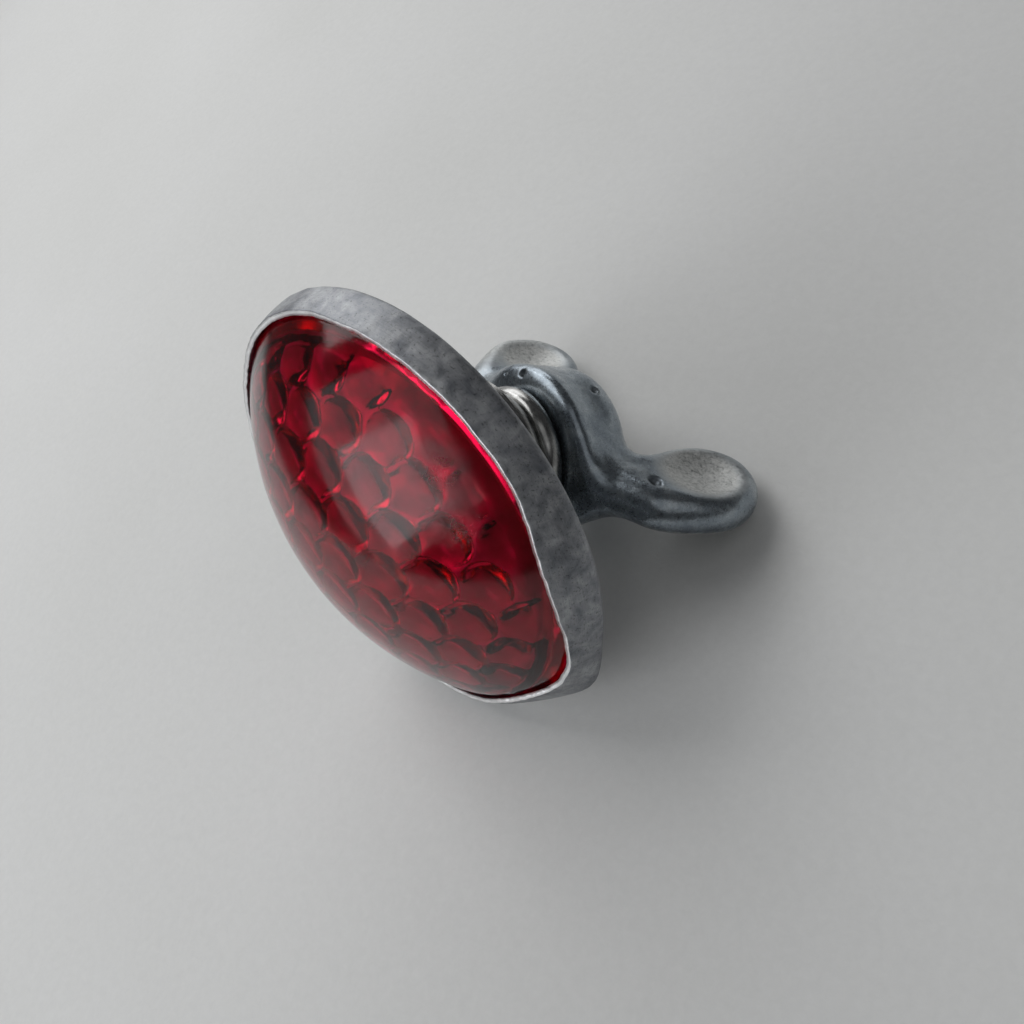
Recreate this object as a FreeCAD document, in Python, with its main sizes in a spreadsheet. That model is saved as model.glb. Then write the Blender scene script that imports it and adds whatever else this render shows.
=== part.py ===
import FreeCAD, Part
import Sketcher
import math
import os

# Bicycle rear reflector: a domed red jewel in a rolled aluminium rim, on a
# threaded stud with spring washers and a wing nut.
#
# Frame, in millimetres: the stud runs along +Y and the origin is the centre of
# the clamp seat, where the stud leaves the back shell. The lens is on the -Y
# side. The head (lens, rim, shell, foil, gasket) leans back from the stud by
# head_tilt about X, so that the lens faces straight back when the stud goes
# through a sloping mudguard. In the head's own frame y = 0 is the lip of the
# rim and +y runs back along the lens axis.

doc = FreeCAD.newDocument("rear_reflector")
sheet = doc.addObject("Spreadsheet::Sheet", "Params")

P = {
    # head against stud
    "head_tilt": 18.8, "seat_depth": 10.2,
    # lens
    "lens_apex": 7.5, "lens_face_rad": 20.3, "lens_edge": 0.2,
    "lens_step_rad": 20.4, "flange_rad": 20.75, "flange_front": 0.62,
    "flange_back": 1.6, "lens_inner_apex": 4.5, "lens_inner_rad": 17.3,
    "dome_centre": 23.13, "dome_inner_rad": 27.63, "apex_flat": 0.05,
    "cell_pitch": 5.1, "cell_turn": -32.0, "cell_off_x": 0.6, "cell_off_z": 0.2,
    "cell_ball_rad": 4.0, "cell_depth": 1.1, "cell_field_rad": 16.4,
    # rolled rim
    "sheet_metal": 0.45, "lip_rad": 20.72, "lip_inner_rad": 20.475, "lip_inner": 0.378,
    "rim_rad": 22.0, "rim_widest": 2.35, "rim_wall_bend": 2.797,
    "hem_bend": 0.95, "hem_back": 3.3, "hem_rad": 19.6,
    # foil
    "foil_front": 1.62, "foil_back": 1.77, "foil_rim_rad": 20.7,
    "foil_front_rad": 17.09, "foil_back_rad": 17.04,
    "foil_apex_front": 4.32, "foil_apex_back": 4.17,
    # gasket
    "gasket_front": 1.78, "gasket_back": 2.15, "gasket_rad": 20.9, "gasket_hole": 19.0,
    # back shell
    "shell_front": 2.16, "shell_flange_back": 2.85, "shell_rad": 21.0,
    "shell_dome_rad": 19.3, "shell_apex": 7.6, "shell_cavity_rad": 19.09,
    "shell_cavity_apex": 6.9, "shell_metal": 0.7,
    "seat_rad": 9.0, "boss_flare": 15.06, "boss_height": 13.0,
    "boss_cavity_rad": 8.3, "boss_cavity_flare": 14.5, "boss_cavity_height": 13.3,
    # stud
    "neck_square": 8.0, "neck_hole": 8.3, "stud_rad": 4.0, "stud_end": 15.6,
    "stud_point": 0.5, "stud_head_rad": 8.4, "stud_head_height": 3.6,
    "plate_metal": 1.2, "plate_rad": 8.0,
    # washers
    "washer_rad": 8.0, "washer_thick": 1.8, "washer_bore": 4.2,
    "spring_rad": 6.4, "spring_thick": 2.2, "spring_round": 0.7, "spring_gap": 0.9,
    "slip": 0.02,
    # wing nut
    "nut_angle": 45.77, "nut_bore": 4.06, "hub_base_rad": 8.3, "hub_waist_rad": 7.7,
    "hub_shoulder_rad": 7.3, "hub_top_rad": 6.4, "hub_height": 8.0, "wing_root": 7.8,
    "wing_centre": 12.9, "wing_centre_y": 10.5,
    "wing_round": 5.9, "wing_thick": 4.2, "wing_offset": 0.9, "wing_edge": 1.4,
    "thumb_ball": 9.0, "thumb_depth": 0.8,
}
row = 1
for name, value in P.items():
    sheet.set("A%d" % row, name)
    sheet.set("B%d" % row, "%g" % value)
    sheet.setAlias("B%d" % row, name)
    row += 1
doc.recompute()


def term(text):
    """A sum of sheet names and plain numbers, such as 'seat_depth - slip':
    returns its value and the same sum as an expression bound to the sheet."""
    value = 0.0
    out = []
    sign = 1.0
    for word in text.split():
        if word in "+-":
            sign = 1.0 if word == "+" else -1.0
            out.append(word)
        elif word in P:
            value += sign * P[word]
            out.append("Params." + word)
            sign = 1.0
        else:
            value += sign * float(word)
            out.append(word)
            sign = 1.0
    return value, " ".join(out)


def plane_of(body, role):
    for item in body.Origin.OriginFeatures:
        if item.Role == role:
            return item
    raise RuntimeError("no plane " + role)


def profile(body, name, points, edges=None, role="XY_Plane"):
    """Closed sketch. points: pairs of sums of sheet names. edges: for each side
    'L', or ('A', mx, my, radius sum) for an arc that passes near (mx, my)."""
    sk = body.newObject("Sketcher::SketchObject", name)
    sk.AttachmentSupport = [(plane_of(body, role), "")]
    sk.MapMode = "FlatFace"
    pts = [(term(a), term(b)) for a, b in points]
    n = len(pts)
    edges = edges or ["L"] * n
    ends = []
    for i in range(n):
        p0 = FreeCAD.Vector(pts[i][0][0], pts[i][1][0], 0)
        p1 = FreeCAD.Vector(pts[(i + 1) % n][0][0], pts[(i + 1) % n][1][0], 0)
        if edges[i] == "L":
            g = sk.addGeometry(Part.LineSegment(p0, p1), False)
            ends.append((g, 1, 2))
        else:
            # sketch arcs run anticlockwise, whichever way the outline goes
            mid = FreeCAD.Vector(edges[i][1], edges[i][2], 0)
            if (mid - p0).cross(p1 - mid).z > 0:
                g = sk.addGeometry(Part.Arc(p0, mid, p1), False)
                ends.append((g, 1, 2))
            else:
                g = sk.addGeometry(Part.Arc(p1, mid, p0), False)
                ends.append((g, 2, 1))
    for i in range(n):
        g0, g1 = ends[i], ends[(i + 1) % n]
        sk.addConstraint(Sketcher.Constraint("Coincident", g0[0], g0[2], g1[0], g1[1]))
    for i in range(n):
        g, s = ends[i][0], ends[i][1]
        for axis, (value, expr) in (("X", pts[i][0]), ("Y", pts[i][1])):
            if abs(value) < 1e-9:
                line = -2 if axis == "X" else -1
                sk.addConstraint(Sketcher.Constraint("PointOnObject", g, s, line))
            else:
                c = sk.addConstraint(Sketcher.Constraint("Distance" + axis, -1, 1, g, s, value))
                sk.setExpression("Constraints[%d]" % c, expr)
    for i in range(n):
        if edges[i] != "L" and len(edges[i]) > 3:
            value, expr = term(edges[i][3])
            c = sk.addConstraint(Sketcher.Constraint("Radius", ends[i][0], value))
            sk.setExpression("Constraints[%d]" % c, expr)
        elif edges[i] != "L":
            # an arc about the axis of the part
            sk.addConstraint(Sketcher.Constraint("PointOnObject", ends[i][0], 3, -2))
    return sk


def revolved(name, points, edges=None):
    body = doc.addObject("PartDesign::Body", name)
    sk = profile(body, name + "_profile", points, edges)
    rev = body.newObject("PartDesign::Revolution", name + "_turned")
    rev.Profile = sk
    rev.ReferenceAxis = (sk, ["V_Axis"])
    rev.Angle = 360
    body.Tip = rev
    return body


TILT = math.radians(P["head_tilt"])


def lean(obj):
    """Puts an object of the head's frame in the part's frame."""
    d = P["seat_depth"]
    obj.Placement = FreeCAD.Placement(
        FreeCAD.Vector(0, -d * math.cos(TILT), -d * math.sin(TILT)),
        FreeCAD.Rotation(FreeCAD.Vector(1, 0, 0), P["head_tilt"]))
    obj.setExpression("Placement.Rotation.Angle", "Params.head_tilt")
    obj.setExpression("Placement.Base.y", "-Params.seat_depth * cos(Params.head_tilt * 1 deg)")
    obj.setExpression("Placement.Base.z", "-Params.seat_depth * sin(Params.head_tilt * 1 deg)")
    return obj


# --- lens: solid dome with a stepped flange, and a honeycomb of round hollows
# pressed into its inner face
lens_blank = revolved(
    "lens_blank",
    [("0", "- lens_apex"), ("apex_flat", "- lens_apex"), ("lens_face_rad", "lens_edge"),
     ("lens_step_rad", "flange_front"),
     ("flange_rad", "flange_front"), ("flange_rad", "flange_back"),
     ("lens_inner_rad", "flange_back"), ("apex_flat", "- lens_inner_apex"),
     ("0", "- lens_inner_apex")],
    ["L", ("A", 10.5, -5.62), "L", "L", "L", "L", ("A", 9.0, -2.99), "L", "L"])


def cell_balls():
    """The tool that presses the cells: balls on a hexagonal grid laid over the
    inner dome."""
    rad, pitch = sheet.get("dome_inner_rad"), sheet.get("cell_pitch")
    ball, depth = sheet.get("cell_ball_rad"), sheet.get("cell_depth")
    field = sheet.get("cell_field_rad")
    centre = FreeCAD.Vector(0, sheet.get("dome_centre"), 0)
    reach = rad + depth - ball
    turn = math.radians(sheet.get("cell_turn"))
    balls = []
    for i in range(-6, 7):
        for j in range(-6, 7):
            gx = pitch * (i + 0.5 * j)
            gz = pitch * math.sqrt(3) / 2 * j
            px = sheet.get("cell_off_x") + gx * math.cos(turn) - gz * math.sin(turn)
            pz = sheet.get("cell_off_z") + gx * math.sin(turn) + gz * math.cos(turn)
            dist = math.hypot(px, pz)
            if dist > field:
                continue
            ang = dist / rad
            if dist < 1e-9:
                way = FreeCAD.Vector(0, -1, 0)
            else:
                way = FreeCAD.Vector(math.sin(ang) * px / dist, -math.cos(ang),
                                     math.sin(ang) * pz / dist)
            balls.append(Part.makeSphere(ball, centre + way * reach))
    return balls


cell_tool = doc.addObject("Part::Feature", "cell_tool")
balls = cell_balls()
cell_tool.Shape = balls[0].multiFuse(balls[1:])
lens = doc.addObject("Part::Cut", "lens")
lens.Base = lens_blank
lens.Tool = cell_tool
lean(lens)

# --- rim: one strip of sheet, rolled over the lens flange in front and turned
# in behind the shell's flange
bezel = revolved(
    "bezel",
    [("lip_rad", "0"), ("rim_rad", "rim_widest"), ("rim_rad - hem_bend", "hem_back"),
     ("hem_rad", "hem_back"), ("hem_rad", "hem_back - sheet_metal"),
     ("rim_rad - hem_bend", "hem_back - sheet_metal"),
     ("rim_rad - sheet_metal", "rim_widest"), ("lip_inner_rad", "lip_inner")],
    [("A", 21.66, 1.0, "rim_wall_bend"), ("A", 21.72, 3.02, "hem_bend"), "L", "L", "L",
     ("A", 21.4, 2.7, "hem_bend - sheet_metal"),
     ("A", 21.27, 1.22, "rim_wall_bend - sheet_metal"), "L"])
lean(bezel)

# --- foil: thin bright dish close behind the cells
foil = revolved(
    "reflector_foil",
    [("0", "- foil_apex_front"), ("apex_flat", "- foil_apex_front"),
     ("foil_front_rad", "foil_front"), ("foil_rim_rad", "foil_front"),
     ("foil_rim_rad", "foil_back"), ("foil_back_rad", "foil_back"),
     ("apex_flat", "- foil_apex_back"), ("0", "- foil_apex_back")],
    ["L", ("A", 9.0, -2.8), "L", "L", "L", ("A", 9.0, -2.65), "L", "L"])
lean(foil)

# --- gasket: flat soft ring between lens and shell
gasket = revolved(
    "gasket_ring",
    [("gasket_hole", "gasket_front"), ("gasket_rad", "gasket_front"),
     ("gasket_rad", "gasket_back"), ("gasket_hole", "gasket_back")])
lean(gasket)

# --- back shell: shallow pressed dome with a raised boss, whose end is the
# clamp seat square to the stud
dome_out = lean(revolved(
    "shell_dome",
    [("0", "shell_front"), ("shell_rad", "shell_front"), ("shell_rad", "shell_flange_back"),
     ("shell_dome_rad", "shell_flange_back"), ("0", "shell_apex")],
    ["L", "L", "L", ("A", 9.6, 6.48), "L"]))
dome_in = lean(revolved(
    "shell_hollow",
    [("0", "shell_front - 1"), ("shell_cavity_rad", "shell_front - 1"),
     ("shell_cavity_rad", "shell_front"), ("0", "shell_cavity_apex")],
    ["L", "L", ("A", 9.6, 5.76), "L"]))


def cone(name, wide, narrow, height, top):
    """Cone about Y that narrows towards +y and ends at y = top."""
    c = doc.addObject("Part::Cone", name)
    c.setExpression("Radius1", "Params." + wide)
    c.setExpression("Radius2", "Params." + narrow)
    c.setExpression("Height", "Params." + height)
    c.Placement = FreeCAD.Placement(FreeCAD.Vector(0, top - P[height], 0),
                                    FreeCAD.Rotation(FreeCAD.Vector(1, 0, 0), -90))
    return c


def cylinder(name, rad, height, y0):
    c = doc.addObject("Part::Cylinder", name)
    c.setExpression("Radius", term(rad)[1])
    c.setExpression("Height", term(height)[1])
    c.Placement = FreeCAD.Placement(FreeCAD.Vector(0, term(y0)[0], 0),
                                    FreeCAD.Rotation(FreeCAD.Vector(1, 0, 0), -90))
    if any(w in P for w in y0.split()):
        c.setExpression("Placement.Base.y", term(y0)[1])
    return c


def combine(kind, name, *items):
    if kind in ("Cut", "Common"):
        o = doc.addObject("Part::" + kind, name)
        o.Base, o.Tool = items
    else:
        o = doc.addObject("Part::MultiFuse", name)
        o.Shapes = list(items)
    return o


boss = cone("shell_boss", "boss_flare", "seat_rad", "boss_height", 0.0)
boss_hollow = cone("shell_boss_hollow", "boss_cavity_flare", "boss_cavity_rad",
                   "boss_cavity_height", -P["shell_metal"])
# the boss exists only behind the flange: what would run into the lens is cut off
front_space = lean(revolved(
    "lens_space", [("0", "- 25"), ("30", "- 25"), ("30", "shell_front"), ("0", "shell_front")]))
boss_kept = combine("Cut", "shell_boss_kept", boss, front_space)
shell_solid = combine("Fuse", "shell_solid", dome_out, boss_kept)
shell_room = combine("Fuse", "shell_room", dome_in, boss_hollow)
shell_cup = combine("Cut", "shell_cup", shell_solid, shell_room)


def square(name, side, length, y0):
    b = doc.addObject("Part::Box", name)
    b.setExpression("Length", "Params." + side)
    b.setExpression("Height", "Params." + side)
    b.setExpression("Width", term(length)[1])
    half = -P[side] / 2
    b.Placement = FreeCAD.Placement(FreeCAD.Vector(half, term(y0)[0], half), FreeCAD.Rotation())
    b.setExpression("Placement.Base.x", "-Params.%s / 2" % side)
    b.setExpression("Placement.Base.z", "-Params.%s / 2" % side)
    if any(w in P for w in y0.split()):
        b.setExpression("Placement.Base.y", term(y0)[1])
    return b


shell_hole = square("shell_square_hole", "neck_hole", "3", "- 1.5")
shell = combine("Cut", "back_shell", shell_cup, shell_hole)

# --- plate that spreads the stud's load inside the boss
plate_disc = cylinder("plate_disc", "plate_rad", "plate_metal", "- shell_metal - plate_metal")
plate_hole = square("plate_square_hole", "neck_hole", "6", "- 4")
plate = combine("Cut", "stud_plate", plate_disc, plate_hole)

# --- stud: low round head and square neck inside the shell, plain shank behind
# (its fine thread belongs to the surface model)
stud_turned = revolved(
    "stud_turned",
    [("0", "- shell_metal - plate_metal - stud_head_height"),
     ("stud_head_rad", "- shell_metal - plate_metal"),
     ("stud_rad", "- shell_metal - plate_metal"), ("stud_rad", "stud_end - stud_point"),
     ("stud_rad - stud_point", "stud_end"), ("0", "stud_end")],
    [("A", 4.7, -4.45), "L", "L", "L", "L", "L"])
neck = square("stud_neck", "neck_square", "shell_metal + plate_metal - 0.05",
              "- shell_metal - plate_metal")
stud = combine("Fuse", "mounting_stud", stud_turned, neck)

# --- washers
flat = revolved(
    "flat_washer",
    [("washer_bore", "slip"), ("washer_rad", "slip"), ("washer_rad", "washer_thick"),
     ("washer_bore", "washer_thick")])


def spring(name, start, angle):
    """Round-edged ring with a slanting split."""
    blank = doc.addObject("PartDesign::Body", name + "_ring")
    sk = profile(blank, name + "_section",
                 [("washer_bore", start), ("spring_rad - spring_round", start),
                  ("spring_rad", start + " + spring_round"),
                  ("spring_rad", start + " + spring_thick - spring_round"),
                  ("spring_rad - spring_round", start + " + spring_thick"),
                  ("washer_bore", start + " + spring_thick")],
                 ["L", ("A", P["spring_rad"] - 0.205, term(start)[0] + 0.205, "spring_round"), "L",
                  ("A", P["spring_rad"] - 0.205, term(start)[0] + P["spring_thick"] - 0.205,
                   "spring_round"), "L", "L"])
    rev = blank.newObject("PartDesign::Revolution", name + "_turned")
    rev.Profile = sk
    rev.ReferenceAxis = (sk, ["V_Axis"])
    rev.Angle = 360
    blank.Tip = rev
    cut = doc.addObject("Part::Box", name + "_split")
    cut.setExpression("Length", "Params.spring_gap")
    cut.Width = 6
    cut.Height = 6
    turn = FreeCAD.Rotation(FreeCAD.Vector(0, 1, 0), angle)
    lean_cut = FreeCAD.Rotation(FreeCAD.Vector(0, 0, 1), 25)
    base = turn.multVec(FreeCAD.Vector(0.6, term(start)[0] + P["spring_thick"] / 2 - 3.0, 3.0))
    cut.Placement = FreeCAD.Placement(base, turn.multiply(lean_cut))
    return combine("Cut", name, blank, cut)


spring_in = spring("spring_washer_inner", "washer_thick", 200.0)
spring_out = spring("spring_washer_outer", "washer_thick + spring_thick", 120.0)

# --- wing nut: waisted hub with two offset wings and a thumb hollow in each
# face. Its own frame has the seat face at y = 0 and the wings along X.
hub = revolved(
    "nut_hub",
    [("nut_bore", "0"), ("hub_base_rad - 0.5", "0"), ("hub_base_rad", "0.5"),
     ("hub_waist_rad", "2.6"), ("hub_shoulder_rad", "hub_height - 2.3"),
     ("hub_top_rad", "hub_height - 0.6"), ("hub_top_rad - 1", "hub_height"),
     ("nut_bore", "hub_height")])


def wing(name, side):
    body = doc.addObject("PartDesign::Body", name)
    cx, cy, r = P["wing_centre"], P["wing_centre_y"], P["wing_round"]

    def on(deg):
        return (cx + r * math.cos(math.radians(deg)), cy + r * math.sin(math.radians(deg)))

    a, b = on(-63), on(157)
    sk = profile(
        body, name + "_outline",
        [("nut_bore + 1.2", "0.6"), ("hub_waist_rad", "0.6"),
         ("wing_centre + %g" % (a[0] - cx), "wing_centre_y - %g" % (cy - a[1])),
         ("wing_centre - %g" % (cx - b[0]), "wing_centre_y + %g" % (b[1] - cy)),
         ("hub_top_rad + 0.1", "wing_root"), ("nut_bore + 1.2", "wing_root - 0.6")],
        ["L", "L", ("A", on(20)[0], on(20)[1], "wing_round"), "L", "L", "L"])
    pad = body.newObject("PartDesign::Pad", name + "_pad")
    pad.Profile = sk
    pad.setExpression("Length", "Params.wing_thick")
    pad.Midplane = True
    body.Tip = pad
    doc.recompute()
    # round the edges of the thumb lobe only: they lie out beyond the hub
    names = []
    for i, e in enumerate(pad.Shape.Edges):
        box = e.BoundBox
        if abs(box.ZLength) < 1e-6 and box.XMax > P["hub_top_rad"] + 2.0:
            names.append("Edge%d" % (i + 1))
    fil = body.newObject("PartDesign::Fillet", name + "_edges")
    fil.Base = (pad, names)
    fil.Radius = P["wing_edge"]
    fil.setExpression("Radius", "Params.wing_edge")
    body.Tip = fil
    off = P["wing_offset"] * side
    turn = FreeCAD.Rotation(FreeCAD.Vector(0, 1, 0), 0 if side > 0 else 180)
    body.Placement = FreeCAD.Placement(FreeCAD.Vector(0, 0, off), turn)
    body.setExpression("Placement.Base.z", ("" if side > 0 else "-") + "Params.wing_offset")
    return body


def thumb(name, side, face):
    s = doc.addObject("Part::Sphere", name)
    s.setExpression("Radius", "Params.thumb_ball")
    z = P["wing_offset"] * side + face * (P["wing_thick"] / 2 + P["thumb_ball"] - P["thumb_depth"])
    s.Placement = FreeCAD.Placement(
        FreeCAD.Vector(side * P["wing_centre"], P["wing_centre_y"] + 0.2, z),
        FreeCAD.Rotation())
    sign = "" if side > 0 else "-"
    s.setExpression("Placement.Base.z", "%sParams.wing_offset %s (Params.wing_thick / 2 + "
                    "Params.thumb_ball - Params.thumb_depth)" % (sign, "+" if face > 0 else "-"))
    return s


nut_solid = combine("Fuse", "nut_solid", hub, wing("wing_a", 1), wing("wing_b", -1))
nut_bore = cylinder("nut_bore_tool", "nut_bore", "30", "- 5")
nut_tools = combine("Fuse", "nut_tools", nut_bore, thumb("thumb_a1", 1, 1), thumb("thumb_b1", -1, -1),
                    thumb("thumb_a2", 1, -1), thumb("thumb_b2", -1, 1))
nut = combine("Cut", "wing_nut", nut_solid, nut_tools)
seat = P["washer_thick"] + 2 * P["spring_thick"] + P["slip"]
nut.Placement = FreeCAD.Placement(FreeCAD.Vector(0, seat, 0),
                                  FreeCAD.Rotation(FreeCAD.Vector(0, 1, 0), P["nut_angle"]))
nut.setExpression("Placement.Base.y", "Params.washer_thick + 2 * Params.spring_thick + Params.slip")
nut.setExpression("Placement.Rotation.Angle", "Params.nut_angle")

doc.recompute()

NODES = [("lens", lens), ("bezel", bezel), ("reflector_foil", foil), ("gasket_ring", gasket),
         ("back_shell", shell), ("stud_plate", plate), ("mounting_stud", stud),
         ("flat_washer", flat), ("spring_washer_inner", spring_in),
         ("spring_washer_outer", spring_out), ("wing_nut", nut)]

bad = [(o.Name, o.getStatusString()) for o in doc.Objects
       if "Invalid" in o.State or "Error" in o.State]
if bad:
    raise RuntimeError("failed objects: %s" % bad)
for name, obj in NODES:
    obj.Label = name
    if obj.Shape.isNull() or not obj.Shape.isValid():
        raise RuntimeError("bad shape: " + name)
    if len(obj.Shape.Solids) != 1:
        raise RuntimeError("%s has %d solids" % (name, len(obj.Shape.Solids)))

os.makedirs("parts", exist_ok=True)
for name, obj in NODES:
    obj.Shape.exportStep("parts/%s.step" % name)
    box = obj.Shape.BoundBox
    print("%-22s vol %9.2f mm3  x %.2f..%.2f y %.2f..%.2f z %.2f..%.2f" % (
        name, obj.Shape.Volume, box.XMin, box.XMax, box.YMin, box.YMax, box.ZMin, box.ZMax))
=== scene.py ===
import math

import bpy
import numpy as np
from mathutils import Matrix, Vector


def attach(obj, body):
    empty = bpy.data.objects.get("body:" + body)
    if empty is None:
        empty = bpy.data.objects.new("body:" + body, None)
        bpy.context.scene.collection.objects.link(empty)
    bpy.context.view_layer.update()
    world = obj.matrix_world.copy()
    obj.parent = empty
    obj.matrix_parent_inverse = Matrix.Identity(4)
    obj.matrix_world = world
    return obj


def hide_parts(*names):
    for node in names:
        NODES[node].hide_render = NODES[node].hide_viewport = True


# Rear reflector for a bicycle: red jewel lens in a rolled aluminium rim, on a
# leaning threaded stud with washers and a wing nut. Everything is in metres in
# the row frame: the stud along +Y, the lens on the -Y side, +Z up. Sizes below
# are in millimetres and are turned to metres when a mesh is made.

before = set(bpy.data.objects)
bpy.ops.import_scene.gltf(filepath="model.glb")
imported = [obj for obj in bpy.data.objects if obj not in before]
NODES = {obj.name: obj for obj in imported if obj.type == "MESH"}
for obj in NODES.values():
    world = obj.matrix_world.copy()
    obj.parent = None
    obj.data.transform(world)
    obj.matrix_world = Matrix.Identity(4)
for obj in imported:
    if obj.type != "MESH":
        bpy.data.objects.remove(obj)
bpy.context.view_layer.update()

MM = 0.001

# ---------------------------------------------------------------- head frame
TILT = math.radians(18.8)
HEAD_AX = np.array([0.0, math.cos(TILT), math.sin(TILT)])     # lens axis, pointing back
HEAD_Z = np.array([0.0, -math.sin(TILT), math.cos(TILT)])
HEAD_X = np.array([1.0, 0.0, 0.0])
HEAD_O = -10.2 * HEAD_AX                                       # centre of the lip's plane


def head(p):
    """Points (x, y along the lens axis, z) of the head in mm -> row frame in mm."""
    p = np.asarray(p, float)
    return HEAD_O + p[..., 0:1] * HEAD_X + p[..., 1:2] * HEAD_AX + p[..., 2:3] * HEAD_Z


# ---------------------------------------------------------------- camera
scene = bpy.context.scene
cam_data = bpy.data.cameras.new("camera")
cam_data.sensor_width = 36.0
cam_data.lens = 38.99
cam_data.clip_start = 0.005
cam_data.clip_end = 20.0
cam = bpy.data.objects.new("camera", cam_data)
scene.collection.objects.link(cam)
CAM = Vector((90.934, -53.033, -9.802)) * MM
FWD = Vector((-0.85246, 0.52118, 0.04110)).normalized()
RIGHT = Vector((0.48515, 0.81791, -0.30927))
RIGHT = (RIGHT - FWD * RIGHT.dot(FWD)).normalized()
UP = RIGHT.cross(FWD).normalized()
cam.matrix_world = Matrix.Translation(CAM) @ Matrix((
    (RIGHT.x, UP.x, -FWD.x, 0.0), (RIGHT.y, UP.y, -FWD.y, 0.0), (RIGHT.z, UP.z, -FWD.z, 0.0), (0.0, 0.0, 0.0, 1.0)))
scene.camera = cam


# ---------------------------------------------------------------- mesh helpers
def smooth_noise(p, seed=0, octaves=3):
    """Soft seeded noise about 0, made of a few plane waves per octave."""
    p = np.asarray(p, float)
    rng = np.random.RandomState(seed)
    out = np.zeros(p.shape[:-1])
    amp, freq = 1.0, 1.0
    for _ in range(octaves):
        for _ in range(6):
            k = rng.normal(size=3)
            k *= freq / np.linalg.norm(k) * rng.uniform(0.7, 1.4)
            out += amp * np.sin(p @ k * 2 * math.pi + rng.uniform(0, 2 * math.pi)) / 6
        amp *= 0.5
        freq *= 2.1
    return out


def new_mesh(name, verts_mm, faces, smooth=True):
    me = bpy.data.meshes.new(name)
    me.from_pydata([tuple(v) for v in (np.asarray(verts_mm) * MM)], [], [tuple(int(i) for i in f) for f in faces])
    me.validate()
    if smooth:
        me.polygons.foreach_set("use_smooth", [True] * len(me.polygons))
    me.update()
    ob = bpy.data.objects.new(name, me)
    scene.collection.objects.link(ob)
    return ob


# ---------------------------------------------------------------- lens
# Smooth dome outside; inside, a field of raised cells in a turned hexagonal
# lattice. Each cell's face is flatter than the dome, so that it ends in a step
# on the side towards the middle of the lens.
DOME_R, DOME_C = 30.61, 23.11
INNER_R, INNER_C = 27.63, 23.13
PITCH, TURN, OFF = 5.1, math.radians(-32.0), (0.6, 0.2)


def cell_relief(x, z):
    """How far the inner face lies into the plastic at (x, z), in mm. Each cell is
    a round scale, flatter than the dome, that lies over its neighbour on the side
    towards the middle of the lens and falls to it in a soft step."""
    r = np.hypot(x, z)
    arc = np.where(r > 1e-6, INNER_R * np.arcsin(np.clip(r / INNER_R, 0, 1)) / np.maximum(r, 1e-6), 1.0)
    px, pz = x * arc, z * arc
    wx = px + 0.12 * smooth_noise(np.stack([px, pz, 0 * px], -1) / 2.2, 41, 2)
    wz = pz + 0.12 * smooth_noise(np.stack([px, pz, 0 * px + 5], -1) / 2.2, 42, 2)
    c, s = math.cos(TURN), math.sin(TURN)
    low = np.full(x.shape, 1.9)
    for i in range(-5, 6):
        for j in range(-5, 6):
            u = PITCH * (i + 0.5 * j)
            v = PITCH * math.sqrt(0.75) * j
            cx = u * c - v * s + OFF[0] + 0.22 * math.sin(12.9 * i + 4.1 * j)
            cz = u * s + v * c + OFF[1] + 0.22 * math.sin(7.7 * j - 3.3 * i + 1.0)
            far = math.hypot(cx, cz)
            if far > 23.0:
                continue
            d = np.hypot(wx - cx, wz - cz)
            out = (px * cx + pz * cz) / max(far, 1e-6) - far
            step = 0.60 * math.tan(min(far / INNER_R, 0.65)) * np.clip(out + PITCH / 2, 0, PITCH)
            dip = 0.6 * (4.2 - np.sqrt(np.maximum(4.2 ** 2 - d * d, 4.0)))
            edge = 1.7 * np.clip((d - 2.15) / 0.95, 0, 1) ** 1.5
            low = np.minimum(low, step + dip + edge)
    reach = 18.4 - 1.2 * x / np.maximum(r, 1e-6)
    fade = np.clip((reach - r) / 0.6, 0, 1)
    return low * np.interp(r, [16.5, 18.0, 19.6], [1.0, 0.75, 0.65]) * fade * fade * (3 - 2 * fade)


def make_lens():
    n = 420
    phi = np.linspace(0, 2 * math.pi, n, endpoint=False)
    rings = []
    for r in np.linspace(0, 20.3, 72)[1:]:
        rings.append((r, DOME_C - math.sqrt(DOME_R ** 2 - r * r), None))
    rings += [(20.36, 0.33, None), (20.4, 0.56, None), (20.46, 0.62, None), (20.68, 0.62, None), (20.75, 0.7, None),
              (20.75, 1.53, None), (20.68, 1.6, None)]
    rings += [(r, 1.6, True) for r in np.linspace(19.7, 17.4, 16)]
    for r in np.linspace(17.25, 0, 112)[:-1]:
        rings.append((r, INNER_C - math.sqrt(INNER_R ** 2 - r * r), True))
    grid = np.zeros((len(rings), n, 3))
    for k, (r, y, inner) in enumerate(rings):
        x, z = r * np.cos(phi), r * np.sin(phi)
        yy = np.full(n, y)
        if inner:
            yy = yy - cell_relief(x, z)
        else:
            yy = yy + (0.006 * smooth_noise(np.stack([x, yy, z], -1) / 9.0, 3, 2) if r < 20 else 0)
        grid[k, :, 0], grid[k, :, 1], grid[k, :, 2] = x, yy, z
    m = len(rings)
    verts = np.concatenate([grid.reshape(-1, 3), [[0, -7.5, 0], [0, INNER_C - INNER_R - float(cell_relief(np.zeros(1), np.zeros(1))[0]), 0]]])
    faces = []
    for k in range(m - 1):
        for i in range(n):
            j = (i + 1) % n
            faces.append((k * n + i, (k + 1) * n + i, (k + 1) * n + j, k * n + j))
    first, last = m * n, m * n + 1
    for i in range(n):
        j = (i + 1) % n
        faces.append((first, i, j))
        faces.append((last, (m - 1) * n + j, (m - 1) * n + i))
    return head(verts), faces


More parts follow.
